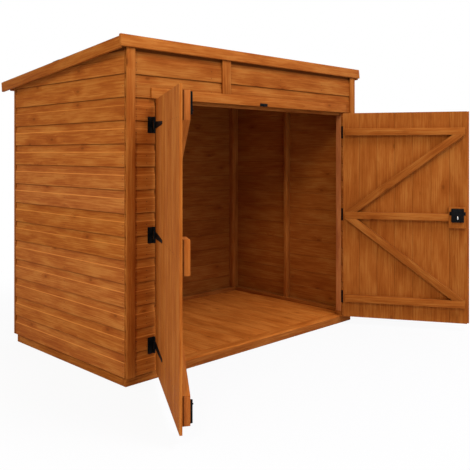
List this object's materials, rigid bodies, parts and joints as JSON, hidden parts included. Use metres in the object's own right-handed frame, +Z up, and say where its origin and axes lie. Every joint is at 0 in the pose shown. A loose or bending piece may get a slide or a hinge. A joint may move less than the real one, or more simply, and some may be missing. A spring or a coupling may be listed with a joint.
{
  "type": "timber bike shed",
  "caption": "Low timber bike shed with shiplap walls, a felted pent roof, a boarded floor and a pair of ledged and braced doors on tee hinges.",
  "frame": {"origin": "on the ground at the middle of the floor's underside", "axes": "+X to the right along the front wall, +Y to the back, +Z up; the doors are on the -Y side"},
  "size_m": [2.5377, 2.0491, 1.806],
  "materials": {
    "shiplap_timber": "dip-treated softwood shiplap, satin",
    "planed_timber": "dip-treated planed softwood, satin",
    "framing_timber": "dip-treated sawn softwood, matt",
    "floor_timber": "dip-treated tongue and groove boards, satin",
    "roofing_felt": "mineral felt, coarse and matt",
    "black_iron": "black japanned iron, satin",
    "bright_steel": "bright plated steel"
  },
  "bodies": {
    "shed": {"floor_bearers": "framing_timber", "floor_side_rims": "framing_timber", "floor_deck": "floor_timber", "threshold_board": "floor_timber", "left_wall": "shiplap_timber", "right_wall": "shiplap_timber", "back_wall": "shiplap_timber", "front_left_panel": "shiplap_timber", "front_right_panel": "shiplap_timber", "front_head_panel": "shiplap_timber", "side_wall_studs": "framing_timber", "side_wall_rails": "framing_timber", "back_wall_studs": "framing_timber", "back_wall_rails": "framing_timber", "front_posts": "framing_timber", "front_rails": "framing_timber", "door_stop": "framing_timber", "front_corner_strips": "planed_timber", "back_corner_strips": "planed_timber", "front_joint_strip": "planed_timber", "door_head_strip": "planed_timber", "head_catch_plate": "black_iron", "roof_deck": "framing_timber", "roof_felt": "roofing_felt", "roof_purlins": "framing_timber", "front_fascia": "planed_timber", "bargeboards": "planed_timber", "rear_eaves_batten": "framing_timber", "hinge_plates": "black_iron"},
    "left_door": {"left_door_boards": "planed_timber", "left_door_ledges": "planed_timber", "left_door_braces": "planed_timber", "left_door_blocks": "planed_timber", "left_hinge_straps": "black_iron", "left_bolt_guides": "black_iron"},
    "right_door": {"right_door_boards": "planed_timber", "right_door_ledges": "planed_timber", "right_door_braces": "planed_timber", "right_door_cover_strip": "planed_timber", "right_hinge_straps": "black_iron", "lock_block": "planed_timber", "lock_case": "black_iron", "lock_turn": "bright_steel"},
    "top_bolt": {"top_bolt": "black_iron"},
    "bottom_bolt": {"bottom_bolt": "black_iron"}
  },
  "joints": [
    {"name": "left_door_hinge", "type": "hinge", "parent": "shed", "child": "left_door", "pos_m": [-0.816, -0.609, 0.77], "axis": [0, 0, -1], "range_deg": [-121.4, 48.6]},
    {"name": "right_door_hinge", "type": "hinge", "parent": "shed", "child": "right_door", "pos_m": [0.859, -0.609, 0.77], "axis": [0, 0, 1], "range_deg": [-120, 50]},
    {"name": "top_bolt_slide", "type": "slide", "parent": "left_door", "child": "top_bolt", "axis": [0, 0, 1], "range_m": [0, 0.054]},
    {"name": "bottom_bolt_slide", "type": "slide", "parent": "left_door", "child": "bottom_bolt", "axis": [0, 0, -1], "range_m": [0, 0.054]}
  ]
}
